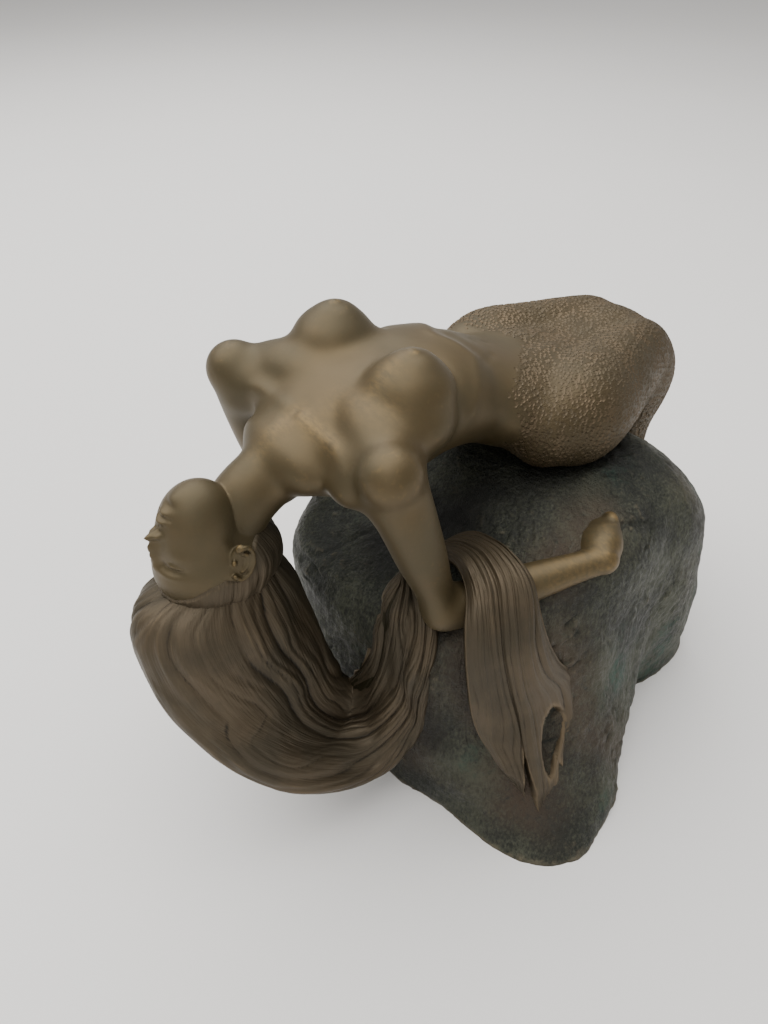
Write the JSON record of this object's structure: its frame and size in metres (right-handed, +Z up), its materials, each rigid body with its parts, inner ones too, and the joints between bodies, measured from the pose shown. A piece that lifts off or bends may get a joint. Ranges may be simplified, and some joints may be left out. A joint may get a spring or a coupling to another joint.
{
  "type": "mermaid figurine",
  "caption": "Cast bronze tabletop figurine of a mermaid lying on her back over a hollow rock, hair hanging to one side.",
  "frame": {"origin": "middle of the footprint, on the table under the rock's rim", "axes": "+X from her head to her tail along the longest side, +Y to her left side, +Z up"},
  "size_m": [0.3011, 0.2128, 0.2071],
  "materials": {
    "bronze": "satin"
  },
  "bodies": {
    "root": {"mermaid_on_rock": "bronze"}
  },
  "joints": []
}
